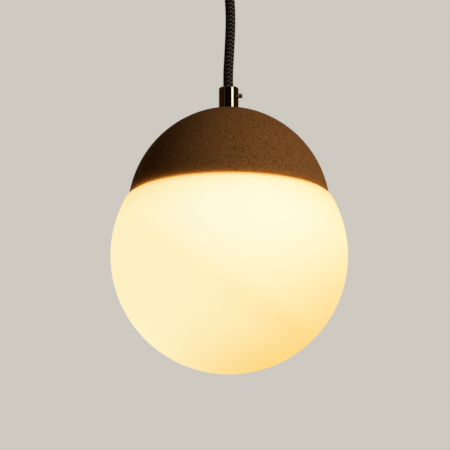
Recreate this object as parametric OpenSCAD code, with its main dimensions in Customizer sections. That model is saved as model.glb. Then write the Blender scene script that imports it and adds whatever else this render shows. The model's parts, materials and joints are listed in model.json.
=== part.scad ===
// Pendant ceiling light: an opal glass globe under a stoneware cap, hung on a short textile flex
// from a ceiling canopy. Origin: the ceiling plane, on the axis of the lamp. Units: mm, +Z up.

/* [Whole lamp] */
// Drop from the ceiling to the bottom of the globe
drop = 300; // [296:1:330]

/* [Globe] */
// Outer diameter of the opal glass globe
globe_d = 150; // [148:0.5:152]
// Thickness of the glass
glass_wall = 3.5; // [3:0.1:4]
// Diameter of the screw neck
neck_d = 84.5; // [82:0.5:86]
// Height of the top of the neck above the middle of the globe
neck_top = 53.6; // [52:0.2:53.6]
// Height of the flat shoulder above the middle of the globe
shoulder_h = 38.7; // [38:0.1:38.7]
// Radius between the globe's side and its shoulder
shoulder_round = 6; // [5:0.5:8]
// Play between the neck and the collar that it screws into, on the radius
thread_play = 0.05; // [0.02:0.01:0.1]

/* [Stoneware cap] */
// Radius of the dome's outer arc
dome_r = 67.4; // [67:0.1:68]
// Distance from the axis to the arc's centre, on its far side
dome_set = 3.3; // [2.8:0.1:3.8]
// Height of the arc's centre above the middle of the globe
dome_h = 28.5; // [28:0.1:29]
// Thickness of the stoneware
cap_wall = 4.5; // [4:0.1:5]
// Height of the cap's rim above the middle of the globe
rim_h = 39.4; // [39.2:0.1:40]
// Radius of the rim's corners
rim_round = 1.2; // [0.8:0.1:1.6]

/* [Cord grip] */
// Outer diameter of the grip on the cap
grip_d = 12.4; // [12.2:0.1:13]
// Height of the grip
grip_h = 14.5; // [14:0.1:15]
// Length of the grip's screw that stands out at the side
screw_out = 2.5; // [0.5:0.1:3]

/* [Flex] */
// Outer diameter of the braided flex
flex_d = 6.3; // [6:0.1:6.4]
// Diameter of one insulated core
core_d = 2.3; // [2:0.1:2.4]

/* [Threaded tube] */
// Outer diameter of the threaded tubes
thread_d = 10; // [10]
// Bore of the threaded tubes
tube_bore = 7.6; // [7:0.1:7.8]
// Width of their nuts across the flats
nut_w = 14; // [13:0.5:15]

/* [Lampholder] */
// Outer diameter of the holder's threaded sleeve
sleeve_d = 28; // [27.5:0.1:28.5]
// Outer diameter of the two ring nuts
ring_d = 36; // [34:0.5:38]
// Number of grip notches in a ring nut
ring_notches = 16; // [8:2:24]
// Number of vent holes in the collar plate
vents = 8; // [4:1:10]

/* [Lamp] */
// Diameter of the small two-pin lamp
lamp_d = 16; // [14:0.5:18]
// Length of the lamp's glass below its base
lamp_glass = 34; // [30:1:38]
// Distance between the lamp's pins
pin_gap = 9; // [9]

/* [Ceiling canopy] */
// Outer diameter of the canopy
canopy_d = 100; // [99:0.5:104]
// Depth of the canopy
canopy_h = 28; // [28:0.5:32]
// Thickness of the spun sheet
canopy_wall = 1; // [0.8:0.1:1.2]
// Distance between the slots for the ceiling screws
slot_gap = 56; // [50:1:60]
// Length of each slot
slot_l = 12; // [8:0.5:14]
// Width of each slot
slot_w = 4.5; // [4:0.1:5]
// Radius of the bell mouth that the flex bends over
bell_r = 5; // [5:0.1:5.5]

/* [Hidden] */
$fn = 96;

e = 0.01;                  // cuts run this far past a face
sheet = 1.5;               // thickness of the bracket and of the collar
fit = 0.03;                // play of a thread in its own thread, on the radius

globe_r = globe_d / 2;
globe_z = -(drop - globe_r);
neck_r = neck_d / 2;
neck_fillet = 2.5;
collar_r = neck_r + thread_play;

flex_r = flex_d / 2;
core_r = core_d / 2;
thread_r = thread_d / 2;
tube_r = thread_r - fit;
sleeve_r = sleeve_d / 2;
small_r = 1.5;             // M3 screws
side_r = 2;                // M4 screws

// heights above the middle of the globe
dome_inside = dome_r - cap_wall;
seat_r = 7;                // flat under the grip
land_r = 15;               // flat inside the top of the cap
cap_top = tenth(dome_h + dome_rise(dome_r, seat_r));
land_h = tenth(dome_h + dome_rise(dome_inside, land_r));
pad_t = 1;
washer_t = 1.2;
nut_h = 3;
tube_top = cap_top + 6.6;
tube_end = land_h - 13.5;
grip_screw_h = cap_top + 9.3;
flex_end = tube_end - 1;
holder_top = land_h - pad_t - washer_t - nut_h - 1.3;
sleeve_top = holder_top - 19;
sleeve_end = 34;
plate_h = 55;              // underside of the collar's plate
seal_t = plate_h - neck_top;
insert_end = sleeve_end + 2;
insert_r = sleeve_r - 2.6;
socket_deep = 10;
contact_h = insert_end + socket_deep;
contact_l = 10;

// heights below the ceiling
canopy_rim = -0.5;
canopy_end = canopy_rim - canopy_h;
canopy_r = canopy_d / 2;
canopy_inside = canopy_end + canopy_wall;
canopy_tube_end = canopy_end - 5.4;
bell_top = canopy_end - 10.5;
bend_z = bell_top - 2.4;   // the flex bends about this point
bend_gap = 0.25;           // free space at each side of the bend
flex_start = bend_z - flex_r - bend_gap;
tail_start = bend_z + flex_r + bend_gap;
tail_end = canopy_inside + 9.5;
clamp_z = canopy_end - 8;
side_screw_z = -8;
leg_x = canopy_r - canopy_wall - 1.2;
ear_y = 21;                // middle of the terminal block
way_gap = 9.5;
block_h = 12;
block_recess = 4;          // depth of the block screw's recess
way_screw = 4;             // from the middle of a terminal to each of its screws
barrel_z = -8;
earth_y = -15;

// Route of the flex below its bend: a slight set to one side, straight through the grip
flex_route = [
    [0, 0, flex_start], [0.4, 0, -52], [1, 0, -60], [1.3, 0, -69], [1.1, 0, -79], [0.7, 0, -87],
    [0.3, 0, -95], [-0.1, 0, -102], [-0.3, 0, -109], [-0.2, 0, -116], [0, 0, -124],
    [0, 0, -138], [0, 0, globe_z + flex_end]
];
tail_route = [[0, 0, tail_start], [0, 0, -28], [0, 0, tail_end]];
live_route = [
    [-1.4, 0.8, tail_end], [-1.4, 0.8, tail_end + 1], [-2.4, 1.8, -14], [-5, 4.4, -10.8],
    [-8.4, 8.4, -8.6], [-way_gap, 12, barrel_z], [-way_gap, 17, barrel_z]
];
neutral_route = [for (p = live_route) [-p.x, p.y, p.z]];
earth_route = [
    [0, -1.6, tail_end], [0, -1.6, tail_end + 1], [0, -2.2, -13.5], [0, -3.2, -8.5],
    [0, -4.3, -4.9], [0, -6.1, -3.5], [0, -7.6, -3.5], [0, -9, -3.5]
];

// ---- shared shapes ----

// height over the dome's centre, at the distance x from the axis, of an arc of radius r
function dome_rise(r, x) = sqrt(r * r - pow(dome_set + x, 2));

// distance from the axis, at the height h over the dome's centre, of the same arc
function dome_reach(r, h) = sqrt(r * r - h * h) - dome_set;

function unit(v) = v / norm(v);

function tenth(v) = round(10 * v) / 10;

// direction of the route at point i, from its neighbours
function heading(p, i) = unit(p[min(i + 1, len(p) - 1)] - p[max(i - 1, 0)]);

// a normal carried along the route without twisting
function carried(p, i) =
    i == 0 ? unit(cross(heading(p, 0), [0.6, 0.8, 0]))
    : let (n = carried(p, i - 1), t = heading(p, i)) unit(n - (n * t) * t);

// a round tube swept along a route
module swept(route, r, sides) {
    rings = len(route);
    points = [for (i = [0:rings - 1])
        let (n = carried(route, i), b = cross(heading(route, i), n))
        for (j = [0:sides - 1]) route[i] + r * (cos(360 * j / sides) * n + sin(360 * j / sides) * b)];
    walls = [for (i = [0:rings - 2]) for (j = [0:sides - 1])
        let (k = (j + 1) % sides)
        [i * sides + j, (i + 1) * sides + j, (i + 1) * sides + k, i * sides + k]];
    first = [for (j = [0:sides - 1]) j];
    last = [for (j = [sides - 1:-1:0]) (rings - 1) * sides + j];
    polyhedron(points, concat([first, last], walls), convexity = 6);
}

module ring(outer, inner, h) {
    difference() {
        cylinder(r = outer, h = h);
        translate([0, 0, -e]) cylinder(r = inner, h = h + 2 * e);
    }
}

module nut(h) {
    difference() {
        intersection() {
            cylinder(r = nut_w / sqrt(3), h = h, $fn = 6);
            cylinder(r1 = nut_w / 2 + 0.4, r2 = nut_w / 2 + 0.4 + h, h = h);
            cylinder(r1 = nut_w / 2 + 0.4 + h, r2 = nut_w / 2 + 0.4, h = h);
        }
        translate([0, 0, -e]) cylinder(r = thread_r, h = h + 2 * e);
    }
}

// M10 tube with its bore
module threaded_tube(low, high) {
    translate([0, 0, low]) ring(tube_r, tube_bore / 2, high - low);
}

// grub screw along +X from its tip, with a driver slot in the end
module grub_screw(tip, end) {
    r = small_r - fit;
    difference() {
        translate([tip, 0, 0]) rotate([0, 90, 0]) {
            cylinder(r1 = r - 0.5, r2 = r, h = 0.5);
            translate([0, 0, 0.5 - e]) cylinder(r = r, h = end - tip - 0.5 + e);
        }
        translate([end - 0.8, -small_r, -0.3]) cube([0.8 + e, 2 * small_r, 0.6]);
    }
}

// slotted screw, head down, with the underside of its head at the origin
module pan_screw(r, head_r, head_h, shank) {
    cylinder(r = r, h = shank);
    difference() {
        translate([0, 0, -head_h]) cylinder(r = head_r, h = head_h);
        translate([-head_r, -0.4, -head_h - e]) cube([2 * head_r, 0.8, 0.9]);
    }
}

module at_globe(h = 0) {
    translate([0, 0, globe_z + h]) children();
}

// ---- ceiling fitting ----

module bracket_profile() {
    bend = 2.5;
    leg = 14;
    for (side = [-1, 1]) {
        translate([side * (leg_x - sheet / 2) - sheet / 2, -leg]) square([sheet, leg - bend]);
        translate([side * (leg_x - bend), -bend]) intersection() {
            difference() {
                circle(r = bend);
                circle(r = bend - sheet);
            }
            translate([side > 0 ? 0 : -bend, 0]) square(bend);
        }
    }
    translate([-leg_x + bend, -sheet]) square([2 * (leg_x - bend), sheet]);
}

module ceiling_bracket() {
    strip_w = 20;
    ear_w = 34;
    ear_l = 31;
    color("gainsboro") difference() {
        union() {
            translate([0, strip_w / 2, 0]) rotate([90, 0, 0]) difference() {
                linear_extrude(strip_w) bracket_profile();
                for (side = [-1, 1]) // legs narrower than the strip
                    for (edge = [0, strip_w - 3])
                        translate([side * leg_x - 5, -15, edge - e]) cube([10, 12, 3 + 2 * e]);
            }
            translate([-ear_w / 2, strip_w / 2 - e, -sheet]) cube([ear_w, ear_l - strip_w / 2, sheet]);
            translate([-6, earth_y, -sheet]) cube([12, -earth_y - strip_w / 2 + e, sheet]);
            translate([0, earth_y, -sheet]) cylinder(r = 6, h = sheet);
        }
        translate([0, 0, -sheet - e]) cylinder(r = 6, h = sheet + 2 * e);
        for (side = [-1, 1]) {
            translate([side * slot_gap / 2, 0, -sheet - e]) linear_extrude(sheet + 2 * e) {
                for (end = [-1, 1])
                    translate([end * (slot_l - slot_w) / 2, 0]) circle(d = slot_w);
                square([slot_l - slot_w, slot_w], center = true);
            }
            translate([side * (leg_x - sheet - 1), 0, side_screw_z])
                rotate([0, side * 90, 0]) cylinder(r = side_r, h = sheet + 2);
        }
        translate([0, earth_y, -sheet - e]) cylinder(r = side_r, h = sheet + 2 * e);
        translate([way_gap / 2, ear_y, -sheet - e]) cylinder(r = small_r, h = sheet + 2 * e);
    }
}

module earth_tag() {
    color("gold") translate([0, 0, -sheet - 0.8]) {
        difference() {
            union() {
                translate([0, earth_y, 0]) cylinder(r = 4, h = 0.8);
                translate([-2, earth_y, 0]) cube([4, 5.5, 0.8]);
            }
            translate([0, earth_y, -e]) cylinder(r = side_r + 0.1, h = 1);
        }
    }
    color("gold") translate([0, -6.8, -3.5]) rotate([90, 0, 0]) ring(core_r + 0.55, core_r + 0.05, 3.4);
    color("gold") translate([-1.4, -11, -2.3 - 0.2]) cube([2.8, 1.5, 0.3]);
}

module earth_screw() {
    color("goldenrod") translate([0, earth_y, -sheet - 0.8]) pan_screw(side_r - fit, 3.6, 2.4, sheet + 0.6);
}

module terminal_block() {
    l = 31;
    w = 16;
    groove = [1.2, 4, block_h - 3];
    color("ivory") translate([0, ear_y, -sheet - block_h]) difference() {
        translate([-l / 2, -w / 2, 0]) cube([l, w, block_h]);
        for (way = [-1:1]) translate([way * way_gap, 0, 0]) {
            translate([0, w / 2 + e, barrel_z + sheet + block_h]) rotate([90, 0, 0])
                cylinder(r = 2.3, h = w + 2 * e);
            for (end = [-1, 1]) translate([0, end * way_screw, -e]) cylinder(r = small_r + 0.1, h = 5.5);
        }
        for (side = [-1, 1]) // grooves between the ways
            for (end = [-1, 1])
                translate([side * way_gap - groove.x, end * (w - groove.y) - groove.y, -2 * e] / 2)
                    cube(groove);
        translate([way_gap / 2, 0, -e]) cylinder(r = small_r + 0.1, h = block_h + 2 * e);
        translate([way_gap / 2, 0, -e]) cylinder(r = 2.7, h = block_recess);
    }
}

module terminal_barrels() {
    l = 14;
    color("gold") for (way = [-1:1]) translate([way * way_gap, ear_y, barrel_z]) difference() {
        translate([0, l / 2, 0]) rotate([90, 0, 0]) ring(2.27, 1.5, l);
        for (end = [-1, 1]) translate([0, end * way_screw, -3]) cylinder(r = small_r - 0.2, h = 3);
    }
}

module terminal_screws() {
    color("silver") for (way = [-1:1]) for (end = [-1, 1])
        translate([way * way_gap, ear_y + end * way_screw, barrel_z - 5.2]) difference() {
            cylinder(r = small_r - 0.25, h = 5.2 - core_r - 0.05);
            translate([-small_r, -0.25, -e]) cube([2 * small_r, 0.5, 0.7]);
        }
}

module block_screw() {
    seat = block_h - block_recess;
    color("silver") translate([way_gap / 2, ear_y, -sheet - seat - e])
        pan_screw(small_r - fit, 2.3, 1.8, seat + sheet - 0.1);
}

module canopy() {
    corner = 5;
    color("silver") difference() {
        rotate_extrude() {
            difference() {
                union() {
                    translate([0, canopy_end]) square([canopy_r - corner, canopy_h]);
                    translate([0, canopy_end + corner]) square([canopy_r, canopy_h - corner]);
                    translate([canopy_r - corner, canopy_end + corner]) circle(r = corner);
                }
                translate([0, canopy_inside]) square([canopy_r - corner, canopy_h]);
                translate([0, canopy_end + corner]) square([canopy_r - canopy_wall, canopy_h]);
                translate([canopy_r - corner, canopy_end + corner]) circle(r = corner - canopy_wall);
            }
            translate([canopy_r - canopy_wall / 2 + 0.6, canopy_rim - 0.9]) circle(r = 0.9);
        }
        translate([0, 0, canopy_end - e]) cylinder(r = thread_r + 0.1, h = canopy_wall + 2 * e);
        translate([-canopy_r - 1, 0, side_screw_z]) rotate([0, 90, 0])
            cylinder(r = side_r + 0.2, h = 2 * canopy_r + 2);
    }
}

module canopy_screws() {
    color("silver") for (side = [-1, 1]) translate([side * (canopy_r + 0.05), 0, side_screw_z])
        rotate([0, -side * 90, 0]) {
            cylinder(r = side_r - fit, h = 6.5);
            difference() {
                translate([0, 0, -2.4]) cylinder(r = 3.4, h = 2.4);
                translate([-4, -0.4, -2.4 - e]) cube([8, 0.8, 0.9]);
                for (a = [0:20:340]) rotate(a) translate([3.6, 0, -2.4 - e]) cylinder(r = 0.35, h = 2);
            }
        }
}

module canopy_tube() {
    color("silver") threaded_tube(canopy_tube_end, canopy_inside + 6);
}

module canopy_washer() {
    color("silver") translate([0, 0, canopy_inside]) ring(9, thread_r + 0.1, 1);
}

module canopy_nut() {
    color("silver") translate([0, 0, canopy_inside + 1]) nut(4);
}

module canopy_grip() {
    r = bell_r + flex_r + 0.35 + 1;
    lip = 1.2;
    mouth = bell_top - bell_r;
    color("silver") difference() {
        rotate_extrude() difference() {
            union() {
                translate([0, mouth + lip]) square([r, canopy_end - mouth - lip]);
                translate([r - lip, mouth + lip]) circle(r = lip);
                translate([0, mouth]) square([r - lip, lip + e]);
            }
            translate([0, canopy_tube_end - 0.1]) square([thread_r, 10]);
            translate([0, mouth - 1]) square([flex_r + 0.35, 12]);
            difference() { // bell mouth
                translate([0, mouth - 1]) square([bell_r + flex_r + 0.35, bell_r + 1]);
                translate([bell_r + flex_r + 0.35, bell_top]) circle(r = bell_r);
            }
        }
        translate([0, 0, clamp_z]) rotate([0, 90, 0]) cylinder(r = small_r, h = r + 1);
    }
}

module canopy_grip_screw() {
    color("dimgray") translate([0, 0, clamp_z]) grub_screw(flex_r + 0.05, bell_r + flex_r + 1.35);
}

module flex_tail() {
    color("dimgray") swept(tail_route, flex_r, 12);
}

module lead_live() {
    color("saddlebrown") swept(live_route, core_r, 8);
}

module lead_neutral() {
    color("steelblue") swept(neutral_route, core_r, 8);
}

module lead_earth() {
    color("yellowgreen") swept(earth_route, core_r, 8);
}

// ---- flex ----

module flex_bend() {
    color("dimgray") translate([0, 0, bend_z]) sphere(r = flex_r);
}

module flex() {
    color("dimgray") swept(flex_route, flex_r, 12);
}

// ---- grip and cap ----

module cord_grip() {
    r = grip_d / 2;
    edge = 0.8;
    color("silver") at_globe(cap_top) difference() {
        rotate_extrude() difference() {
            union() {
                square([r - edge, grip_h]);
                translate([0, edge]) square([r, grip_h - 2 * edge]);
                for (h = [edge, grip_h - edge]) translate([r - edge, h]) circle(r = edge);
            }
            translate([0, -1]) square([thread_r, tube_top - cap_top + 1.2]);
            translate([0, -1]) square([flex_r + 0.3, grip_h + 2]);
            translate([0, grip_h]) rotate(45) square((flex_r + 0.9) * sqrt(2), center = true);
        }
        translate([0, 0, grip_screw_h - cap_top]) rotate([0, 90, 0]) cylinder(r = small_r, h = r + 1);
    }
}

module grip_screw() {
    color("dimgray") at_globe(grip_screw_h) grub_screw(flex_r + 0.05, grip_d / 2 + screw_out);
}

module cap_tube() {
    color("silver") at_globe() threaded_tube(tube_end, tube_top);
}

module stoneware_cap() {
    proud = 2 * e; // the rim's corners cross the dome's arcs by this
    rim_mid = rim_h + rim_round;
    rim_out = dome_reach(dome_r, rim_mid - dome_h) - rim_round + proud;
    rim_in = dome_reach(dome_inside, rim_mid - dome_h) + rim_round - proud;
    color("tan") at_globe() rotate_extrude() {
        difference() {
            intersection() {
                translate([-dome_set, dome_h]) circle(r = dome_r, $fn = 180);
                translate([0, rim_mid]) square([dome_r, cap_top - rim_mid]);
            }
            intersection() {
                translate([-dome_set, dome_h]) circle(r = dome_inside, $fn = 180);
                square([dome_r, land_h]);
            }
            square([thread_r + 0.25, cap_top + 1]);
        }
        for (r = [rim_in, rim_out]) translate([r, rim_mid]) circle(r = rim_round);
        translate([rim_in, rim_h]) square([rim_out - rim_in, rim_round + e]);
    }
}

module cap_pad() {
    color("black") at_globe(land_h - pad_t) ring(14, thread_r + 0.1, pad_t);
}

module cap_washer() {
    color("silver") at_globe(land_h - pad_t - washer_t) ring(13, thread_r + 0.1, washer_t);
}

module cap_nut() {
    color("silver") at_globe(land_h - pad_t - washer_t - nut_h) nut(nut_h);
}

// ---- lampholder ----

module holder_cap() {
    boss_r = 9.5;
    boss_h = 7;
    wall = 1.15;
    round_r = sleeve_r - boss_r;
    round_h = holder_top - boss_h - round_r;
    color("whitesmoke") at_globe() difference() {
        rotate_extrude() difference() {
            union() {
                translate([0, sleeve_top]) square([sleeve_r, round_h - sleeve_top]);
                translate([boss_r, round_h]) circle(r = round_r);
                translate([0, round_h - e]) square([boss_r, holder_top - round_h + e]);
            }
            square([thread_r, holder_top + 1]);
            translate([0, sleeve_top - 1]) square([sleeve_r - wall, round_h - sleeve_top + 1]);
            translate([boss_r, round_h]) circle(r = round_r - wall);
            translate([0, round_h - e]) square([boss_r, round_r - wall + e]);
        }
        translate([0, 0, holder_top - 3.5]) rotate([0, 90, 0]) cylinder(r = small_r, h = 12);
    }
}

module holder_lock_screw() {
    color("dimgray") at_globe(holder_top - 3.5) grub_screw(thread_r + 0.02, 10.5);
}

module holder_sleeve() {
    spigot = sleeve_r - 1.2;
    color("whitesmoke") at_globe() rotate_extrude() difference() {
        union() {
            translate([0, sleeve_end + 0.6]) square([sleeve_r, sleeve_top - sleeve_end - 0.6]);
            translate([0, sleeve_end]) square([sleeve_r - 0.6, 1]);
            translate([0, sleeve_top - e]) square([spigot, 4]);
        }
        translate([0, sleeve_end - 1]) square([insert_r - 0.9, 60]);
        translate([0, insert_end]) square([insert_r + 0.1, 60]);
    }
}

// rounded bar that both the lamp's base and its socket follow
module socket_outline(play) {
    w = 6.6 + 2 * play;
    l = 14.6 + 2 * play;
    for (side = [-1, 1]) translate([side * (l - w) / 2, 0]) circle(d = w);
    square([l - w, w], center = true);
}

module holder_insert() {
    top = sleeve_top + 4;
    color("linen") at_globe() difference() {
        translate([0, 0, insert_end]) cylinder(r = insert_r, h = top - insert_end);
        translate([0, 0, insert_end - e]) linear_extrude(socket_deep) socket_outline(0.35);
        for (side = [-1, 1]) translate([side * pin_gap / 2, 0, contact_h - 1]) {
            cylinder(r = 2.43, h = contact_l + 1.2);
            translate([-2.8, -2.8, contact_l + 1]) cube([5.6, 5.6, 20]);
        }
        for (side = [-1, 1]) // keys that stop the insert turning
            translate([-1.2, side * insert_r - 1, insert_end - e]) cube([2.4, 2, 3]);
    }
}

module holder_contacts() {
    color("gold") at_globe(contact_h) for (side = [-1, 1]) translate([side * pin_gap / 2, 0, 0]) {
        difference() {
            union() {
                cylinder(r = 2.4, h = contact_l);
                translate([-2.5, -2.5, contact_l]) cube([5, 5, 4]);
            }
            translate([0, 0, -e]) cylinder(r = 1.16, h = contact_l - 1);
            translate([0, 0, contact_l + 1]) cylinder(r = core_r, h = 4);
        }
    }
}

module holder_leads() {
    top = globe_z + flex_end;
    low = globe_z + contact_h + contact_l + 1;
    color("saddlebrown") for (side = [-1, 1]) swept([
        [side * 1.5, 0, top], [side * 1.5, 0, top - 1], [side * 2.3, 0, top - 3], [side * 3.8, 0, top - 6],
        [side * pin_gap / 2, 0, low + 4.5], [side * pin_gap / 2, 0, low]
    ], core_r - 0.05, 8);
}

module ring_nut(h) {
    difference() {
        ring(ring_d / 2, sleeve_r + fit, h);
        for (i = [0:ring_notches - 1]) rotate(360 * i / ring_notches)
            translate([ring_d / 2 + 0.3, 0, -e]) cylinder(r = 1, h = h + 2 * e);
    }
}

module ring_nut_upper() {
    color("whitesmoke") at_globe(plate_h + sheet) ring_nut(4);
}

module ring_nut_lower() {
    color("whitesmoke") at_globe(plate_h - 5) ring_nut(5);
}

// ---- globe ----

// pressed collar: a ringed plate with a turned-down wall that the neck screws into
module globe_collar() {
    wall_end = 43.5;
    out = collar_r + sheet;
    bead = 1.2;
    bead_at = 21.5;
    vent_at = 29;
    color("silver") at_globe() difference() {
        rotate_extrude() {
            difference() {
                union() {
                    translate([0, wall_end]) square([out, plate_h - wall_end]);
                    translate([0, plate_h - e]) square([out - 2, sheet + e]);
                    translate([out - 2, plate_h + sheet - 2]) circle(r = 2);
                    translate([bead_at, plate_h + sheet]) circle(r = bead); // stiffening bead
                }
                translate([0, wall_end - 1]) square([collar_r, plate_h - wall_end + 1]);
                square([sleeve_r + 0.2, plate_h + 5]);
                translate([bead_at, plate_h]) circle(r = bead);
            }
            translate([out + 0.3, wall_end]) circle(r = bead); // rolled edge
        }
        for (i = [0:vents - 1]) rotate(360 * (i + 0.5) / vents) translate([vent_at, 0, plate_h - e])
            cylinder(r = 3.5, h = sheet + 2 * e);
    }
}

module neck_seal() {
    color("white") at_globe(neck_top) ring(neck_r - 0.2, neck_r - glass_wall - 1, seal_t);
}

// section of the globe, drawn in by t from its outer face
module globe_section(t) {
    round_h = shoulder_h - shoulder_round;
    round_r = sqrt(pow(globe_r - shoulder_round, 2) - round_h * round_h);
    union() {
        intersection() {
            circle(r = globe_r - t, $fn = 180);
            polygon([[0, -globe_r - 1], [2 * globe_r, -globe_r - 1],
                [2 * globe_r, 2 * globe_r * round_h / round_r], [0, 0]]);
        }
        translate([round_r, round_h]) circle(r = shoulder_round - t);
        square([round_r, shoulder_h - t]);
        square([neck_r - t, neck_top + (t > 0 ? 1 : 0)]);
        difference() { // fillet at the foot of the neck
            square([neck_r + neck_fillet, shoulder_h + neck_fillet]);
            translate([neck_r + neck_fillet, shoulder_h + neck_fillet]) circle(r = neck_fillet + t);
            translate([0, shoulder_h + neck_fillet]) square([neck_r + 9, 9]);
        }
    }
}

module globe() {
    color("oldlace") at_globe() rotate_extrude() difference() {
        globe_section(0);
        globe_section(glass_wall);
    }
}

// ---- lamp ----

module lamp_base() {
    base_low = insert_end - 10;
    color("white") at_globe() {
        translate([0, 0, base_low]) linear_extrude(contact_h - 0.4 - base_low) socket_outline(0);
        translate([0, 0, base_low - 3]) cylinder(r1 = lamp_d / 2, r2 = 7.3, h = 3 + e);
    }
}

module lamp_pins() {
    r = 1.1;
    l = 6.4;
    color("silver") at_globe(contact_h - 0.4) for (side = [-1, 1]) translate([side * pin_gap / 2, 0, 0]) {
        cylinder(r = r, h = l - r);
        translate([0, 0, l - r]) sphere(r = r);
    }
}

module lamp_glass() {
    top = insert_end - 13;
    r = lamp_d / 2;
    color("snow") at_globe() rotate_extrude() intersection() {
        union() {
            translate([0, top - lamp_glass + r]) square([r, lamp_glass - r]);
            translate([0, top - lamp_glass + r]) circle(r = r);
        }
        translate([0, top - lamp_glass - 1]) square([r + 1, lamp_glass + 1]);
    }
}

ceiling_bracket();
earth_tag();
earth_screw();
terminal_block();
terminal_barrels();
terminal_screws();
block_screw();
canopy();
canopy_screws();
canopy_tube();
canopy_washer();
canopy_nut();
canopy_grip();
canopy_grip_screw();
flex_tail();
lead_live();
lead_neutral();
lead_earth();
flex_bend();
flex();
cord_grip();
grip_screw();
cap_tube();
stoneware_cap();
cap_pad();
cap_washer();
cap_nut();
holder_cap();
holder_lock_screw();
holder_sleeve();
holder_insert();
holder_contacts();
holder_leads();
ring_nut_upper();
ring_nut_lower();
globe_collar();
neck_seal();
globe();
lamp_base();
lamp_pins();
lamp_glass();
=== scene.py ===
import json
import math

import bpy
import numpy as np
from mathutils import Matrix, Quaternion, Vector


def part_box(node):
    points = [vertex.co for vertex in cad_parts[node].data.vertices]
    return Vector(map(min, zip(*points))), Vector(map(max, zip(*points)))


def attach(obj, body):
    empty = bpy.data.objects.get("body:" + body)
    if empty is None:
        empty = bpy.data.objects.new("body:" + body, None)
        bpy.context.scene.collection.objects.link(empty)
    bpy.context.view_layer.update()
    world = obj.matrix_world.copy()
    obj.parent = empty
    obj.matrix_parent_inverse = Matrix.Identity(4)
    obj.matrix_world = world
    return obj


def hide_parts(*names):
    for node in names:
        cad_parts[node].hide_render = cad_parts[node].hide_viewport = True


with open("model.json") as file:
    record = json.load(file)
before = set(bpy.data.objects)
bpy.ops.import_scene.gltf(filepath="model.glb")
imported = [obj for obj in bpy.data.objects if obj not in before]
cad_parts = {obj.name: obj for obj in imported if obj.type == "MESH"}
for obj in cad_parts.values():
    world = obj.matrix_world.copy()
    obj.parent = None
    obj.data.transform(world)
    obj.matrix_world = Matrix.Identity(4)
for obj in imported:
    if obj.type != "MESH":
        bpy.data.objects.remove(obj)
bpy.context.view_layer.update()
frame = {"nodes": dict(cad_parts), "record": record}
bpy.context.scene.view_settings.view_transform = "Standard"
cadNodes = frame["nodes"]
slotOf = {part["node"]: part["material_slot"] for part in frame["record"]["subparts"]}
print("frame loaded:", len(cadNodes), "nodes")

globeLow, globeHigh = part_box("globe")
capLow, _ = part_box("stoneware_cap")
globeRadius = (globeHigh[0] - globeLow[0]) / 2
globeHeight = globeLow[2] + globeRadius  # height of the globe's middle
globeMiddle = Vector((0.0, 0.0, globeHeight))


cameraSet = {
    "distance": 3.0,  # metres from the globe's middle
    "elevation": -13.45,  # degrees; the camera looks up
    "roll": -0.18,
    "lens": 380.2,  # millimetres
    "aimLeft": 0.0026,  # metres from the globe's middle to the middle of the view
    "aimUp": 0.0193,
}


# It looks up at a point beside the globe's middle, rolled a little to one side.
def makeCamera(values):
    tilt = math.radians(values["elevation"])
    back = Vector((0.0, -math.cos(tilt), math.sin(tilt)))
    up = Vector((0.0, math.sin(tilt), math.cos(tilt)))
    aim = globeMiddle + Vector((-values["aimLeft"], 0, 0)) + up * values["aimUp"]
    camera = bpy.data.objects.new("camera", bpy.data.cameras.new("camera"))
    camera.data.lens = values["lens"]
    camera.location = globeMiddle + back * values["distance"]
    turned = (aim - camera.location).to_track_quat("-Z", "Y")
    turned = turned @ Quaternion((0, 0, 1), math.radians(values["roll"]))
    camera.rotation_euler = turned.to_euler()
    bpy.context.scene.collection.objects.link(camera)
    bpy.context.scene.camera = camera


makeCamera(cameraSet)
print("camera placed")


# A closed tube from rings of points: quads join neighbouring rings, and a fan to the
# middle of the first and last ring closes each end. The map holds the share of a turn
# and the run along the tube.
def tubeOf(name, points, uv):
    rings, around = points.shape[:2]
    corner = np.arange(rings * around).reshape(rings, around)
    beside = np.roll(corner, -1, 1)
    quads = np.stack([corner[:-1], corner[1:], beside[1:], beside[:-1]], -1).reshape(-1, 4)
    first, last = rings * around, rings * around + 1
    top = np.stack([np.full(around, first), corner[0], beside[0]], -1)
    bottom = np.stack([np.full(around, last), beside[-1], corner[-1]], -1)
    ends = np.stack([points[0].mean(0), points[-1].mean(0)])
    mesh = bpy.data.meshes.new(name)
    faces = quads.tolist() + top.tolist() + bottom.tolist()
    mesh.from_pydata(np.concatenate([points.reshape(-1, 3), ends]).tolist(), [], faces)
    turn, along = uv
    u0, v0 = np.meshgrid(turn[:-1], along[:-1])
    u1, v1 = np.meshgrid(turn[1:], along[1:])
    quadUv = np.stack([u0, v0, u0, v1, u1, v1, u1, v0], -1).reshape(-1, 2)
    mid, start, stop = (turn[:-1] + turn[1:]) / 2, turn[:-1], turn[1:]
    low, high = np.full(around, along[0]), np.full(around, along[-1])
    topUv = np.stack([mid, low, start, low, stop, low], -1).reshape(-1, 2)
    bottomUv = np.stack([mid, high, stop, high, start, high], -1).reshape(-1, 2)
    mapped = np.concatenate([quadUv, topUv, bottomUv]).astype(np.float32)
    mesh.uv_layers.new(name="braid").data.foreach_set("uv", mapped.ravel())
    mesh.shade_smooth()
    made = bpy.data.objects.new(name, mesh)
    bpy.context.scene.collection.objects.link(made)
    return made


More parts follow.
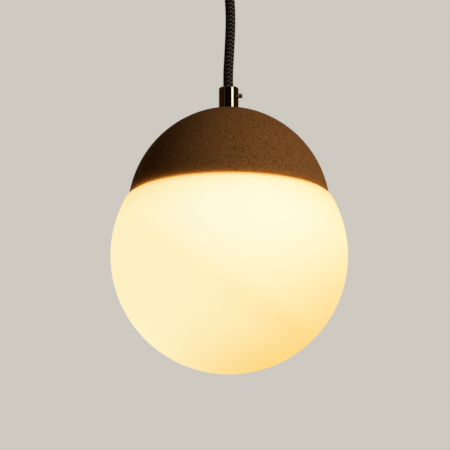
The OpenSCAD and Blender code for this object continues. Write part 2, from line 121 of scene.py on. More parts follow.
# A Catmull-Rom curve through the points, then points at even steps along it, with the
# run from the start to each of them.
def smoothLine(points, step):
    points = np.array(points, float)
    ends = np.concatenate([[2 * points[0] - points[1]], points, [2 * points[-1] - points[-2]]])
    perSpan = 60
    t = np.linspace(0, 1, perSpan, endpoint=False)[:, None]
    a, b, c, d = (p[:, None, :] for p in (ends[:-3], ends[1:-2], ends[2:-1], ends[3:]))
    bend = (2 * a - 5 * b + 4 * c - d) * t**2 + (3 * b - a - 3 * c + d) * t**3
    curve = 0.5 * (2 * b + (c - a) * t + bend)
    curve = np.concatenate([curve.reshape(-1, 3), points[-1:]])
    run = np.concatenate([[0], np.cumsum(np.linalg.norm(np.diff(curve, axis=0), axis=1))])
    even = np.linspace(0, run[-1], int(run[-1] / step) + 1)
    return np.stack([np.interp(even, run, curve[:, i]) for i in range(3)], 1), even


# At each point of a line, the unit vector along it and two that are square to it. The
# second one leans as far as it can towards the given direction.
def vectorsAlong(line, lean):
    ahead = np.gradient(line, axis=0)
    ahead /= np.linalg.norm(ahead, axis=1)[:, None]
    front = np.array(lean, float) - ahead * (ahead @ lean)[:, None]
    front /= np.linalg.norm(front, axis=1)[:, None]
    return ahead, front, np.cross(front, ahead)


flexSet = {
    "radius": 0.00315,
    "relief": 0.0002,  # depth of the grooves between the yarns
    "yarnCrown": 0.55,  # the lower, the flatter a yarn's top
    "pinch": 0.5,  # share of its height that a yarn loses where the chevrons meet
    "pinchPower": 6,  # the higher, the narrower that place
    "zigzags": 6,  # chevrons round the flex
    "apex": 0.03,  # share of a turn from the front to a chevron's tip, at the top
    "twist": -0.1,  # turns of the whole braid in a metre
    "pitch": 0.00271,  # from one chevron to the next
    "rise": 0.0014,  # height of a chevron's legs
    "white": 0.44,  # share of the pitch that the light yarn takes
    "step": 0.00022,
    "around": 120,
    "domeRings": 9,
    "domeStart": 8,  # degrees from the tip of a domed end to its first ring
    "pathStep": 22,  # steps between two points of the path
    "route": [  # middle line in millimetres, from the bend in the canopy's grip
        (0, 0, -41.4), (0, 0, -44.8), (0.4, 0, -52), (1, 0, -60), (1.3, 0, -69), (1.1, 0, -79),
        (0.7, 0, -87), (0.3, 0, -95), (-0.1, 0, -102), (-0.3, 0, -109), (-0.2, 0, -116),
        (0, 0, -124), (0, 0, -138), (0, 0, -150.8),
    ],
}


# The height of the braid's pattern, in pitches: the run along the flex, plus one pitch a
# turn, plus a triangle wave round it that peaks at the chevrons' tips. Written for whole
# arrays and for shader values alike.
def braidHeight(turn, run, values):
    around = turn - values["apex"] - run * values["twist"]
    fold = abs(around * values["zigzags"] % 1.0 * 2.0 - 1.0)  # 1 at a tip, 0 between two
    return (run + fold * values["rise"]) / values["pitch"] - around, fold


# Rings across the middle line. Their radius dips between the yarns, by a rounded wave
# along the pattern's height, and where the chevrons meet. Both ends are domes.
def makeBraided(name, route, values):
    radius, around = values["radius"], values["around"]
    line, run = smoothLine(np.array(route) / 1000, values["step"])
    ahead, front, side = vectorsAlong(line, (0.0, -1.0, 0.0))
    slope = np.linspace(values["domeStart"], 90, values["domeRings"], endpoint=False)
    slope = np.radians(slope)
    lift = radius * np.cos(slope)
    shrink = np.concatenate([np.sin(slope), np.ones(len(line)), np.sin(slope[::-1])])
    head = line[0] - ahead[0] * lift[:, None]
    tail = line[-1] + ahead[-1] * lift[::-1, None]
    middle = np.concatenate([head, line, tail])
    front, side = (np.pad(v, ((len(slope), len(slope)), (0, 0)), "edge") for v in (front, side))
    along = np.concatenate([run[0] - lift, run, run[-1] + lift[::-1]])
    turn = np.linspace(0, 1, around + 1)
    height, fold = braidHeight(turn[None, :-1], along[:, None], values)
    light, share = height % 1, values["white"]
    inYarn = np.where(light < share, light / share, (light - share) / (1 - share))
    yarn = np.abs(np.sin(math.pi * inYarn)) ** values["yarnCrown"]
    rib = 1 - values["pinch"] * np.abs(fold * 2 - 1) ** values["pinchPower"]
    out = (radius - values["relief"] * (1 - yarn * rib)) * shrink[:, None]
    angle = 2 * math.pi * turn[None, :-1, None]
    spoke = np.cos(angle) * front[:, None] + np.sin(angle) * side[:, None]
    return tubeOf(name, middle[:, None] + out[..., None] * spoke, (turn, along)), line


newPieces = {}  # each modelled piece and its slot


# The piece moves with the body, stands for the CAD parts and takes the slot's finish.
def place(piece, body, slot, *parts):
    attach(piece, body)
    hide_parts(*parts)
    newPieces[piece] = slot


flex, flexLine = makeBraided("flexBraid", flexSet["route"], flexSet)
place(flex, "pendant", "braid", "flex", "flex_bend")
print("flex made:", len(flex.data.polygons), "faces")


leadSet = {
    "radius": 0.00115,
    "step": 0.0003,
    "around": 28,
    # middle lines in millimetres: in the canopy, from the flex's end to the terminals and to
    # the earth tag, and in the lampholder from the flex's end to a contact
    "live": [
        (-1.4, 0.8, -20.6), (-1.4, 0.8, -17), (-2.4, 1.8, -14), (-5, 4.4, -10.8),
        (-8.4, 8.4, -8.6), (-9.5, 12, -8), (-9.5, 17, -8),
    ],
    "earth": [
        (0, -1.6, -20.6), (0, -1.6, -17), (0, -2.2, -13.5), (0, -3.2, -8.5), (0, -4.3, -4.9),
        (0, -6.1, -3.5), (0, -7.6, -3.5), (0, -9, -3.5),
    ],
    "holder": [
        (1.5, 0, -149), (1.5, 0, -151.8), (2.3, 0, -153.8), (3.8, 0, -156.8), (4.5, 0, -163.5),
        (4.5, 0, -168),
    ],
}


# The stretch of flex inside the canopy, as long as its CAD part.
def makeTail(values):
    (_, _, low), (_, _, high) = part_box("flex_tail")
    ends = [(0, 0, (high - values["radius"]) * 1000), (0, 0, (low + values["radius"]) * 1000)]
    tail, _ = makeBraided("flexTail", ends, values)
    place(tail, "ceiling_fitting", "braid", "flex_tail")


# A round core: even circles across a smooth line, or, where side is -1, across its mirror
# image in x.
def makeLead(name, route, lean, side, values):
    line, run = smoothLine(np.array(route) * (side, 1, 1) / 1000, values["step"])
    _, front, beside = vectorsAlong(line, lean)
    turn = np.linspace(0, 1, values["around"] + 1)
    angle = 2 * math.pi * turn[None, :-1, None]
    spoke = np.cos(angle) * front[:, None] + np.sin(angle) * beside[:, None]
    return tubeOf(name, line[:, None] + values["radius"] * spoke, (turn, run))


makeTail(flexSet)
for name, route, lean, side, body, slot, node in (
    ("leadLive", "live", (1, 0, 0), 1, "ceiling_fitting", "core_brown", "lead_live"),
    ("leadNeutral", "live", (1, 0, 0), -1, "ceiling_fitting", "core_blue", "lead_neutral"),
    ("leadEarth", "earth", (1, 0, 0), 1, "ceiling_fitting", "core_earth", "lead_earth"),
    ("holderLeadRight", "holder", (0, 1, 0), 1, "pendant", "core_brown", "holder_leads"),
    ("holderLeadLeft", "holder", (0, 1, 0), -1, "pendant", "core_brown", "holder_leads"),
):
    place(makeLead(name, leadSet[route], lean, side, leadSet), body, slot, node)
print("tail and leads made:", len(newPieces) - 1)


# A colour on the 0 to 255 scale as linear values, by the usual curve for screen colours.
def tone(red, green, blue):
    parts = (c / 255 for c in (red, green, blue))
    return (*(c / 12.92 if c <= 0.04045 else ((c + 0.055) / 1.055) ** 2.4 for c in parts), 1.0)


# A socket's output. Arithmetic on it adds Math nodes to its tree.
class Value:
    def __init__(self, nodes, socket):
        self.nodes, self.socket = nodes, socket

    def join(self, operation, *others):
        return self.nodes.node("ShaderNodeMath", {"operation": operation}, [self, *others])

    def __add__(self, other):
        return self.join("ADD", other)

    def __sub__(self, other):
        return self.join("SUBTRACT", other)

    def __mul__(self, other):
        return self.join("MULTIPLY", other)

    def __truediv__(self, other):
        return self.join("DIVIDE", other)

    def __pow__(self, other):
        return self.join("POWER", other)

    def __mod__(self, other):
        return self.join("FLOORED_MODULO", other)

    def __abs__(self):
        return self.join("ABSOLUTE")

    def __neg__(self):
        return self.join("MULTIPLY", -1.0)

    def __rsub__(self, other):
        return self.nodes.node("ShaderNodeMath", {"operation": "SUBTRACT"}, [other, self])

    def __rpow__(self, other):
        return self.nodes.node("ShaderNodeMath", {"operation": "POWER"}, [other, self])

    __radd__ = __add__
    __rmul__ = __mul__

    # another output of the same node
    def output(self, name):
        return Value(self.nodes, self.socket.node.outputs[name])

    # 0 below low, 1 above high and a smooth rise between; low may be above high
    def ramp(self, low, high):
        settings = {"interpolation_type": "SMOOTHSTEP"}
        return self.nodes.node("ShaderNodeMapRange", settings, [self, low, high, 0.0, 1.0])


# The nodes of one material or world.
class Nodes:
    def __init__(self, tree):
        self.tree = tree

    # a node of this type with its settings, then the values or links of its sockets
    def node(self, kind, settings=None, sockets=None, output=0):
        made = self.tree.nodes.new(kind)
        for name, value in (settings or {}).items():
            setattr(made, name, value)
        pairs = enumerate(sockets) if isinstance(sockets, (list, tuple)) else (sockets or {}).items()
        for name, value in pairs:
            if isinstance(value, Value):
                self.tree.links.new(value.socket, made.inputs[name])
            else:
                made.inputs[name].default_value = value
        return Value(self, made.outputs[output])

    # sends a finished shader to the tree's output node
    def show(self, shader, end="Material Output"):
        self.tree.links.new(shader.socket, self.tree.nodes[end].inputs["Surface"])


# One material. Its constants go straight onto the shader's sockets.
class Surface(Nodes):
    def __init__(self, name, constants=None):
        self.material = bpy.data.materials.new(name)
        self.material.use_nodes = True
        super().__init__(self.material.node_tree)
        self.shader = self.tree.nodes["Principled BSDF"]
        for socket, value in (constants or {}).items():
            self.shader.inputs[socket].default_value = value

    # the point on the object, in millimetres
    def point(self):
        metres = self.node("ShaderNodeTexCoord").output("Object")
        return self.node("ShaderNodeVectorMath", {"operation": "SCALE"}, {0: metres, 3: 1000.0})

    # a vector's three numbers, or a colour's
    def parts(self, vector):
        split = self.node("ShaderNodeSeparateXYZ", None, [vector])
        return [split.output(axis) for axis in ("X", "Y", "Z")]

    # noise with features of about this size in millimetres
    def noise(self, point, size, detail=2.0, roughness=0.5, colour=False):
        sockets = {"Vector": point, "Scale": 1 / size, "Detail": detail, "Roughness": roughness}
        return self.node("ShaderNodeTexNoise", None, sockets, 1 if colour else 0)

    # the first colour where the factor is 0 and the second where it is 1
    def mix(self, factor, first, second):
        return self.node("ShaderNodeMix", {"data_type": "RGBA"}, {0: factor, 6: first, 7: second}, 2)

    # the point with its three numbers multiplied by the scale's three
    def stretch(self, point, scale):
        return self.node("ShaderNodeVectorMath", {"operation": "MULTIPLY"}, [point, scale])

    # relief of this depth in millimetres
    def bump(self, height, depth):
        return self.node("ShaderNodeBump", None, {"Height": height, "Distance": depth / 1000})

    # what changes over the surface goes onto the shader's sockets
    def wear(self, links):
        for name, value in links.items():
            self.tree.links.new(value.socket, self.shader.inputs[name])
        return self.material


# Share of a turn round the upright axis, from 0 to 1, where 0 is the back.
def turnRound(x, y):
    return x.join("ARCTAN2", -y) / (2 * math.pi) + 0.5


stoneSet = {
    "clay": tone(121, 78, 37),
    "paleClay": tone(164, 115, 66),
    "darkClay": tone(88, 52, 22),
    "iron": tone(46, 23, 8),
    "rust": tone(72, 38, 14),
    "grain": 0.9,  # size in millimetres
    "grainShare": 0.75,  # how far a grain's colour goes towards the pale or the dark clay
    "cloud": 22,
    "cloudShare": 0.12,
    "wander": 0.6,  # the most, in millimetres, that a speck's outline strays
    "speckEdge": 0.12,  # half the width in millimetres over which a speck fades out
    "rough": 0.72,
    "relief": 0.1,
    "paintedRimGlow": (0.13, 0.036, 0.003, 1.0),  # painted light: the globe's glow painted into the clay as emission, at the rim's foot
    "rimFade": 1.4,  # millimetres in which it halves
    # specks: gap between their middles, least and greatest radius in millimetres, share
    # that shows, strength
    "large": (1.9, 0.22, 0.72, 0.6, 0.8),
    "small": (1.0, 0.16, 0.48, 0.62, 0.8),
    "fine": (0.7, 0.05, 0.3, 0.7, 0.6),
}


# Sandy clay with three sizes of iron specks. A speck is the inside of a sphere round a
# Voronoi point, in a space that noise bends a little.
def makeStoneware(values):
    stone = Surface("stoneware", {"Specular IOR Level": 0.06, "Emission Strength": 1.0})
    point = stone.point()
    wander = stone.noise(point, values["grain"], 2, 0.6, colour=True)
    reach = (values["wander"],) * 3
    bent = stone.node("ShaderNodeVectorMath", {"operation": "MULTIPLY_ADD"}, [wander, reach, point])
    cloud = stone.noise(point, values["cloud"])
    grain = stone.noise(point, values["grain"], 4, 0.7)
    clouded = cloud.ramp(0.3, 0.7) * values["cloudShare"]
    pale, dark = (grain.ramp(0.5, full) * values["grainShare"] for full in (0.72, 0.3))
    colour = stone.mix(clouded, values["clay"], values["darkClay"])
    colour = stone.mix(pale, colour, values["paleClay"])
    colour = stone.mix(dark, colour, values["darkClay"])

    def specks(gap, least, most, share, strength):
        cell = stone.node("ShaderNodeTexVoronoi", None, {"Vector": bent, "Scale": 1 / gap})
        pick, other, _ = stone.parts(cell.output("Color"))
        size = least + (most - least) * pick ** 2
        shown = other.ramp(share + 0.02, share - 0.02) * strength
        return (cell * gap - size).ramp(values["speckEdge"], -values["speckEdge"]) * shown

    large, small, fine = (specks(*values[name]) for name in ("large", "small", "fine"))
    colour = stone.mix(fine, colour, values["rust"])
    colour = stone.mix(small, colour, values["rust"])
    colour = stone.mix(large, colour, values["iron"])
    # the specks are shallow pits, and the large ones are smoother than the clay
    height = grain * 0.7 + cloud * 0.3 - large * 0.5 - small * 0.3
    rough = values["rough"] + grain * 0.16 - large * 0.15
    _, _, z = stone.parts(point)
    # painted light: the clay glows with the globe's light, strongest at the rim's foot and halving every
    # rimFade millimetres up, less on the small specks
    fade = 0.5 ** ((z - capLow[2] * 1000) / values["rimFade"])
    glow = stone.mix(fade * (1 - small * 0.6), (0.0, 0.0, 0.0, 1.0), values["paintedRimGlow"])
    return stone.wear({
        "Base Color": colour, "Roughness": rough, "Emission Color": glow,
        "Normal": stone.bump(height, values["relief"]),
    })


glassSet = {
    # the glow's colour at each warmth
    "glow": (
        (-0.05, (1.0, 0.949, 0.74, 1.0)),
        (0.1, (1.0, 0.911, 0.588, 1.0)),
        (0.6, (1.0, 0.59, 0.067, 1.0)),
    ),
    # the warmth: factors of the powers of the height and of the side distance, from the
    # highest power down, then of height, side distance and 1 in the part with both; all
    # heights and distances here are shares of the radius, from the globe's middle
    "byHeight": (0.84, 1.2, 0.47, -0.28, -0.016),
    "bySide": (0.12, 0.18, -0.1, 0.0),
    "byBoth": (0.3, 0.11, -0.13),
    "crease": (0.548, -0.195, 0.814, 0.175),  # its plane: shares of side, back and up, and 1
    "creaseWarmth": 0.045,
    # distances on either side of the plane, and side distances, from none of it to all of it
    "creaseFade": ((0.12, -0.01), (-0.3, 0.01)),
    "creaseEnds": ((-0.9, -0.6), (0.8, 0.4)),
    "shoulder": (0.95, 0.57, 0.12, 1.0),  # the ring that the cap's rim shades
    # heights where that ring begins and where it is full, and its strength
    "shoulderSteps": ((0.474, 0.506, 0.8), (0.44, 0.5, 0.2)),
    "base": tone(56, 50, 40),
    "swirl": 26,  # size in millimetres
    "swirlWarmth": 0.02,
    "ripple": 14,
    "relief": 0.02,
}


# A sum of powers of a value, from the highest down.
def powers(value, factors):
    total = factors[0]
    for factor in factors[1:]:
        total = total * value + factor
    return total


# The glow warms towards the bottom, the lower right and the rim: a sum of powers of the
# height and of the side distance, both as shares of the radius. A faint crease, where the
# lamp's own shadow ends, is a slanting plane's cut through the globe.
def makeOpal(values):
    glass = Surface("opalGlass", {
        "Roughness": 0.5, "Specular IOR Level": 0.03, "Emission Strength": 0.972, "IOR": 1.5,
    })
    point = glass.point()
    x, y, z = glass.parts(point)
    radius = globeRadius * 1000
    up, side, back = (z - globeHeight * 1000) / radius, x / radius, y / radius
    byUp, bySide, byNeither = values["byBoth"]
    warmth = powers(up, values["byHeight"]) + powers(side, values["bySide"])
    warmth = warmth + side * up * (up * byUp + side * bySide + byNeither)
    alongSide, alongBack, alongUp, away = values["crease"]
    plane = side * alongSide + back * alongBack + up * alongUp + away
    (near, far), (left, right) = values["creaseFade"], values["creaseEnds"]
    crease = plane.ramp(*near) * plane.ramp(*far) * side.ramp(*left) * side.ramp(*right)
    swirl = glass.noise(point, values["swirl"])
    warmth = warmth + crease * values["creaseWarmth"] + (swirl - 0.5) * values["swirlWarmth"]
    low, glow = values["glow"][0]
    for high, warmer in values["glow"][1:]:
        glow = glass.mix((warmth - low) / (high - low), glow, warmer)
        low = high
    shaded = sum(up.ramp(start, full) * share for start, full, share in values["shoulderSteps"])
    glow = glass.mix(shaded, glow, values["shoulder"])
    base = glass.mix(swirl, values["base"], tuple(c * 0.85 for c in values["base"]))
    ripple = glass.noise(point, values["ripple"], 2, 0.4)
    return glass.wear({
        "Base Color": base, "Emission Color": glow, "Normal": glass.bump(ripple, values["relief"]),
    })


braidSet = {
    "dark": (tone(4, 3, 3), tone(12, 9, 8)),
    "light": (tone(64, 56, 48), tone(92, 82, 70)),
    "gap": tone(36, 30, 25),  # painted shade between the threads of a light yarn
    "fibre": 0.16,  # millimetres
    "threads": 9,  # in one pitch
    "edge": 0.03,  # half the width over which the yarns' colours meet, in pitches
    "stray": 0.06,  # how far fibres move that edge, in pitches
    "relief": 0.05,
}


# Light yarn where the pattern's height is in the first part of a pitch.
def makeBraid(values):
    braid = Surface("braid", {"Specular IOR Level": 0.06, "Roughness": 0.9})
    turn, run, _ = braid.parts(braid.node("ShaderNodeUVMap", {"uv_map": "braid"}))
    height, _ = braidHeight(turn, run, flexSet)
    fibre = braid.noise(braid.point(), values["fibre"], 2, 0.6)
    edge, share = values["edge"], flexSet["white"]
    level = height % 1.0 + (fibre - 0.5) * values["stray"]
    white = level.ramp(-edge, edge) * level.ramp(share + edge, share - edge)
    threads = abs(height * values["threads"] % 1.0 * 2.0 - 1.0)
    dark = braid.mix(fibre, *values["dark"])
    pale = braid.mix(fibre, *values["light"])
    # painted shade: a light yarn darker between its threads
    pale = braid.mix(threads.ramp(0.35, 0.0) * 0.5, pale, values["gap"])
    normal = braid.bump(threads * 0.6 + fibre * 0.6, values["relief"])
    return braid.wear({"Base Color": braid.mix(white, dark, pale), "Normal": normal})


# What a metal has unless its own row says otherwise. Sizes and depths are in millimetres.
plainMetal = {
    "patch": 6,  # size of the patches in the sheen
    "stroke": (6, 6, 0.4),  # how closely the scratches lie, along each axis
    "hair": 0.6,  # gap between the scratches where stroke is 1
    "smudge": 0.1,  # how far the patches change the roughness
    "scratch": 0.1,
    "grain": 0.01,  # depth of the scratches and rings
    "threadDepth": 0.4,  # in pitches
    "leastRough": 0.04,
}
metals = {
    "bracket_steel": {
        "base": tone(205, 207, 210), "dull": tone(176, 180, 186), "rough": 0.34,
        "patch": 5, "stroke": (0.5, 8, 8), "smudge": 0.2, "grain": 0.02,
    },
    "brass": {
        "base": tone(222, 186, 112), "dull": tone(188, 150, 82), "rough": 0.26,
        "patch": 2.5, "smudge": 0.2,
    },
    "screw_steel": {
        "base": tone(190, 186, 178), "dull": tone(158, 154, 148), "rough": 0.34,
        "patch": 2, "rings": 0.3,
    },
    "canopy_metal": {
        "base": tone(150, 143, 135), "dull": tone(136, 129, 122), "rough": 0.2,
        "patch": 26, "rings": 0.5, "smudge": 0.08, "scratch": 0.04, "grain": 0.006,
    },
    "tube_steel": {
        "base": tone(196, 194, 188), "dull": tone(166, 164, 158), "rough": 0.32, "thread": 1.0,
    },
    "grip_chrome": {
        "base": tone(122, 115, 108), "dull": tone(108, 102, 96), "rough": 0.06,
        "patch": 9, "smudge": 0.04, "scratch": 0.02, "grain": 0.001,
    },
    "collar_aluminium": {
        "base": tone(214, 214, 214), "dull": tone(188, 188, 190), "rough": 0.33,
        "patch": 12, "rings": 0.4, "grain": 0.02,
    },
    "pin_metal": {
        "base": tone(206, 204, 200), "dull": tone(170, 168, 162), "rough": 0.22, "patch": 1.5,
    },
}


# Metal with fine scratches, a patchy sheen and, where its row has them, turned rings round
# the upright axis, of this width, or a screw thread's ridges, of this pitch.
def makeMetal(name, values):
    metal = Surface(name, {"Metallic": 1.0})
    point = metal.point()
    x, y, z = metal.parts(point)
    patch = metal.noise(point, values["patch"], 4, 0.6)
    hair = metal.noise(metal.stretch(point, values["stroke"]), values["hair"], 2, 0.6)
    base = metal.mix(patch.ramp(0.3, 0.7), values["base"], values["dull"])
    rough = values["rough"] + (patch - 0.5) * values["smudge"]
    rough = rough + (hair - 0.5) * values["scratch"]
    height, depth = hair * 0.2, values["grain"]
    if "rings" in values:
        distance = (x * x + y * y) ** 0.5
        turned = metal.node("ShaderNodeCombineXYZ", None, [distance, z, 0.0])
        rings = metal.noise(turned, values["rings"])
        height = height + rings
        rough = rough + (rings - 0.5) * 0.08
    if "thread" in values:
        ridge = abs((z / values["thread"] + turnRound(x, y)) % 1.0 * 2.0 - 1.0)
        height, depth = ridge, values["thread"] * values["threadDepth"]
        # painted shade: the thread's grooves darker, down to half the dull colour
        base = metal.mix(ridge.ramp(0.55, 0.1), base, tuple(c * 0.5 for c in values["dull"]))
    rough = rough.join("MAXIMUM", values["leastRough"])
    return metal.wear({"Base Color": base, "Roughness": rough, "Normal": metal.bump(height, depth)})


# What moulded or fired stock has unless its own row says otherwise, in millimetres.
plainStock = {
    "drift": 8,  # size of the slow changes of colour and gloss
    "grain": 0.35,  # size of the grain
    "depth": 0.015,  # depth of the grain
    "fleck": 0.25,  # how strongly single grains show
}
moulded = {
    "terminal_plastic": {
        "base": tone(232, 228, 214), "shade": tone(220, 215, 199), "rough": 0.42, "depth": 0.02,
    },
    "holder_plastic": {
        "base": tone(228, 224, 213), "shade": tone(216, 211, 198), "rough": 0.46, "depth": 0.025,
    },
    "core_brown": {"base": tone(92, 52, 30), "shade": tone(78, 42, 24), "rough": 0.38, "drift": 3},
    "core_blue": {"base": tone(40, 98, 168), "shade": tone(32, 84, 150), "rough": 0.38, "drift": 3},
    "core_earth": {
        "base": tone(58, 140, 62), "shade": tone(48, 124, 54), "rough": 0.38, "drift": 3,
        "stripe": tone(226, 204, 60),
    },
    "pad_rubber": {"base": tone(38, 37, 36), "shade": tone(28, 27, 27), "rough": 0.78, "depth": 0.04},
    "steatite": {
        "base": tone(230, 225, 214), "shade": tone(216, 210, 196), "rough": 0.6,
        "grain": 0.22, "fleck": 0.4, "fleckTone": tone(188, 180, 164), "depth": 0.03,
    },
    "seal_silicone": {"base": tone(222, 221, 216), "shade": tone(208, 207, 200), "rough": 0.62},
    "lamp_ceramic": {"base": tone(236, 233, 226), "shade": tone(226, 222, 213), "rough": 0.4, "drift": 5},
}


# Moulded or fired stock: a fine grain and a slow drift of colour and gloss.
def makeMoulded(name, values):
    stock = Surface(name)
    point = stock.point()
    drift = stock.noise(point, values["drift"], 3, 0.55)
    grain = stock.noise(point, values["grain"], 3, 0.6)
    colour = stock.mix(drift.ramp(0.3, 0.7), values["base"], values["shade"])
    fleck = grain.ramp(0.62, 0.8) * values["fleck"]
    colour = stock.mix(fleck, colour, values.get("fleckTone", values["shade"]))
    rough = values["rough"] + (drift - 0.5) * 0.14 + (grain - 0.5) * 0.1
    if "stripe" in values:  # the second colour on one side of the core
        x, _, _ = stock.parts(point)
        colour = stock.mix((x + (grain - 0.5) * 0.05).ramp(-0.05, 0.05), colour, values["stripe"])
    normal = stock.bump(grain, values["depth"])
    return stock.wear({"Base Color": colour, "Roughness": rough, "Normal": normal})


frostSet = {
    "body": (tone(246, 240, 226), tone(236, 228, 210)),
    "glow": (tone(255, 236, 196), tone(255, 224, 172)),
    "drift": 7,  # size in millimetres of the slow changes between the two tones
    "frost": 0.5,
    "relief": 0.02,
}


# Frosted glass with the light behind it.
def makeFrosted(values):
    glass = Surface("lampFrosted", {"Roughness": 0.5, "Emission Strength": 0.9})
    point = glass.point()
    frost = glass.noise(point, values["frost"], 3, 0.6)
    drift = glass.noise(point, values["drift"])
    return glass.wear({
        "Base Color": glass.mix(drift, *values["body"]),
        "Emission Color": glass.mix(drift.ramp(0.3, 0.7), *values["glow"]),
        "Normal": glass.bump(frost, values["relief"]),
    })


finishes = {name: makeMetal(name, {**plainMetal, **own}) for name, own in metals.items()}
finishes.update({name: makeMoulded(name, {**plainStock, **own}) for name, own in moulded.items()})
finishes["stoneware"] = makeStoneware(stoneSet)
finishes["opal_glass"] = makeOpal(glassSet)
finishes["lamp_frosted"] = makeFrosted(frostSet)
finishes["braid"] = makeBraid(braidSet)

for name, node in cadNodes.items():
    node.data.materials.clear()
    node.data.materials.append(finishes[slotOf[name]])
for piece, slot in newPieces.items():
    piece.data.materials.append(finishes[slot])
print("finishes made:", len(finishes))


studioSet = {
    "backdrop": tone(206, 201, 193),
    "ambient": 0.01,
    "ambientColour": (1.0, 0.98, 0.95, 1.0),
    "sunColour": (1.0, 0.97, 0.93),
    # suns: azimuth from the camera's side, elevation, level on a facing surface, softness
    "keyLight": (57, 15, 0.93, 46),
    "backLight": (190, 20, 0.55, 40),
    "lowLight": (-40, -40, 0.04, 40),
    "glowPower": 1.15,
    "glowColour": (1.0, 0.72, 0.2),
    "glowSize": 0.965,  # share of the globe's radius
    "floorDrop": 0.95,  # from the globe's lowest point
    "floorReach": 9.0,
    "floorGlow": 0.7,  # share of its level that doesn't depend on the lamps
    "floorFade": (0.5, 0.95),  # shares of its reach between which it thins out
}

shiny = ("canopy_metal", "grip_chrome", "screw_steel")
# cards that only gloss shows: from and to azimuth, low and high edge, reach, colour,
# strength, and the finishes that show it where not all do
cards = {
    "darkCardLeft": (-178, -58, -1.2, 1.2, 1.1, (0.09, 0.034, 0.008, 1), 1.0, None),
    "darkCardMiddle": (-60, 35, -1.2, 1.2, 1.1, (0.03, 0.009, 0.01, 1), 1.0, None),
    "darkCardRight": (50, 178, -1.2, 1.2, 1.1, (0.09, 0.034, 0.008, 1), 1.0, None),
    "dimStrip": (-52, -46, -0.22, 0.22, 1.05, (1.0, 0.9, 0.75, 1), 0.25, shiny),
    "keyStrip": (33, 58, -0.22, 0.22, 1.05, (1.0, 0.98, 0.78, 1), 7.5, shiny),
}


# These kinds of ray pass the lamp or card by.
def hideFrom(item, *rays):
    for ray in rays:
        setattr(item, "visible_" + ray, False)


# This lamp or card lights only these CAD parts.
def linkTo(item, name, parts):
    lit = bpy.data.collections.new(name)
    for part in parts:
        lit.objects.link(cadNodes[part])
    item.light_linking.receiver_collection = lit
    return lit


# The world is the backdrop to the camera, to gloss and through glass, and an even dim
# light to everything else.
def makeWorld(values):
    world = bpy.data.worlds.new("studio")
    world.use_nodes = True
    sky = Nodes(world.node_tree)
    dim = Value(sky, sky.tree.nodes["Background"].outputs[0])
    dim.socket.node.inputs["Color"].default_value = values["ambientColour"]
    dim.socket.node.inputs["Strength"].default_value = values["ambient"]
    backdrop = sky.node("ShaderNodeBackground", None, {"Color": values["backdrop"]})
    rays = sky.node("ShaderNodeLightPath")
    seen = rays.output("Is Camera Ray")
    for ray in ("Is Glossy Ray", "Is Transmission Ray"):
        seen = seen.join("MAXIMUM", rays.output(ray))
    sky.show(sky.node("ShaderNodeMixShader", None, [seen, dim, backdrop]), "World Output")
    bpy.context.scene.world = world


# An open sheet of quads between neighbouring rows of points.
def sheetOf(name, points):
    rows, across = points.shape[:2]
    corner = np.arange(rows * across).reshape(rows, across)
    quads = np.stack([corner[:-1, :-1], corner[1:, :-1], corner[1:, 1:], corner[:-1, 1:]], -1)
    mesh = bpy.data.meshes.new(name)
    mesh.from_pydata(points.reshape(-1, 3).tolist(), [], quads.reshape(-1, 4).tolist())
    item = bpy.data.objects.new(name, mesh)
    bpy.context.scene.collection.objects.link(item)
    return item


# A flat disc on polar rings. It thins out towards its edge, so it has no horizon line,
# and it lets a view from below through.
def makeFloor(values):
    reach, sides, rings = values["floorReach"], 96, 12
    turn = np.linspace(0, 2 * math.pi, sides + 1)
    turn, ring = np.meshgrid(turn, np.linspace(0.0, reach, rings + 1))
    level = np.full(ring.shape, globeLow[2] - values["floorDrop"])
    floor = sheetOf("floor", np.stack([ring * np.cos(turn), ring * np.sin(turn), level], -1))
    paint = Surface("floorPaint", {
        "Roughness": 0.8, "Specular IOR Level": 0.2, "Base Color": values["backdrop"],
    })
    glow = paint.node("ShaderNodeEmission", None, {"Color": values["backdrop"], "Strength": 1.0})
    clear = paint.node("ShaderNodeBsdfTransparent")
    toCamera = paint.node("ShaderNodeLightPath")
    x, y, _ = paint.parts(paint.point())
    far = ((x * x + y * y) ** 0.5 / (reach * 1000)).ramp(*values["floorFade"])
    below = paint.node("ShaderNodeNewGeometry").output("Backfacing")
    coat = Value(paint, paint.shader.outputs[0])
    share = toCamera * values["floorGlow"]
    lit = paint.node("ShaderNodeMixShader", None, [share, coat, glow])
    paint.show(paint.node("ShaderNodeMixShader", None, [far.join("MAXIMUM", below), lit, clear]))
    floor.data.materials.append(paint.material)


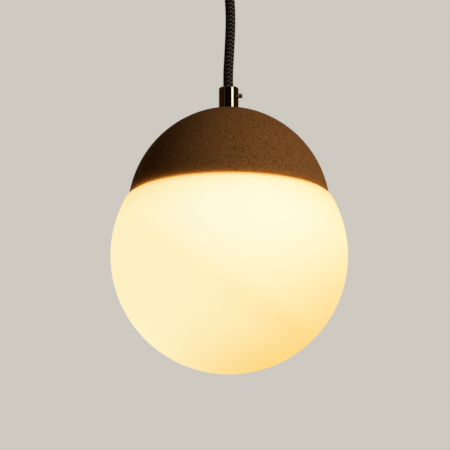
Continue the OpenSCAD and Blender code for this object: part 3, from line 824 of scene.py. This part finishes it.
# A lamp of this kind, with any of its own settings.
def addLamp(name, kind, colour, energy, **settings):
    lamp = bpy.data.lights.new(name, kind)
    lamp.color, lamp.energy = colour, energy
    for setting, value in settings.items():
        setattr(lamp, setting, value)
    item = bpy.data.objects.new(name, lamp)
    bpy.context.scene.collection.objects.link(item)
    return item


# A distant lamp that lights a surface facing it to this level.
def addSun(name, colour, azimuth, elevation, level, softness):
    turn, lift = math.radians(azimuth), math.radians(elevation)
    flat = math.cos(lift)
    source = Vector((math.sin(turn) * flat, -math.cos(turn) * flat, math.sin(lift)))
    sun = addLamp(name, "SUN", colour, level * math.pi, angle=math.radians(softness))
    sun.rotation_euler = source.to_track_quat("Z", "Y").to_euler()
    hideFrom(sun, "glossy")


# A curved card round the object, between two azimuths and two heights. With shownIn, only
# the CAD parts with one of these finishes show it.
def addCard(name, start, stop, low, high, reach, colour, strength, shownIn):
    columns = 24
    turn, height = np.meshgrid(np.radians(np.linspace(start, stop, columns)), [low, high])
    card = sheetOf(name, np.stack([reach * np.sin(turn), -reach * np.cos(turn), height], -1))
    light = Surface(name)
    light.show(light.node("ShaderNodeEmission", None, {"Color": colour, "Strength": strength}))
    card.data.materials.append(light.material)
    hideFrom(card, "camera", "diffuse", "shadow", "transmission", "volume_scatter")
    if shownIn:
        linkTo(card, name, [part for part in cadNodes if slotOf[part] in shownIn])


# The globe's light on the cap: a round lamp of the globe's size that reaches only the
# cap and the collar, because the glass's own level is kept below white.
def addGlow(values):
    glow = addLamp(
        "globeGlow", "POINT", values["glowColour"], values["glowPower"],
        shadow_soft_size=globeRadius * values["glowSize"], use_soft_falloff=False,
    )
    glow.location = globeMiddle
    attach(glow, "globe")
    hideFrom(glow, "camera", "glossy", "transmission")
    lit = linkTo(glow, "litByGlobe", ("stoneware_cap", "globe_collar"))
    glow.light_linking.blocker_collection = lit


makeWorld(studioSet)
makeFloor(studioSet)
for sun in ("keyLight", "backLight", "lowLight"):
    addSun(sun, studioSet["sunColour"], *studioSet[sun])
addGlow(studioSet)
for name, card in cards.items():
    addCard(name, *card)
print("studio set")
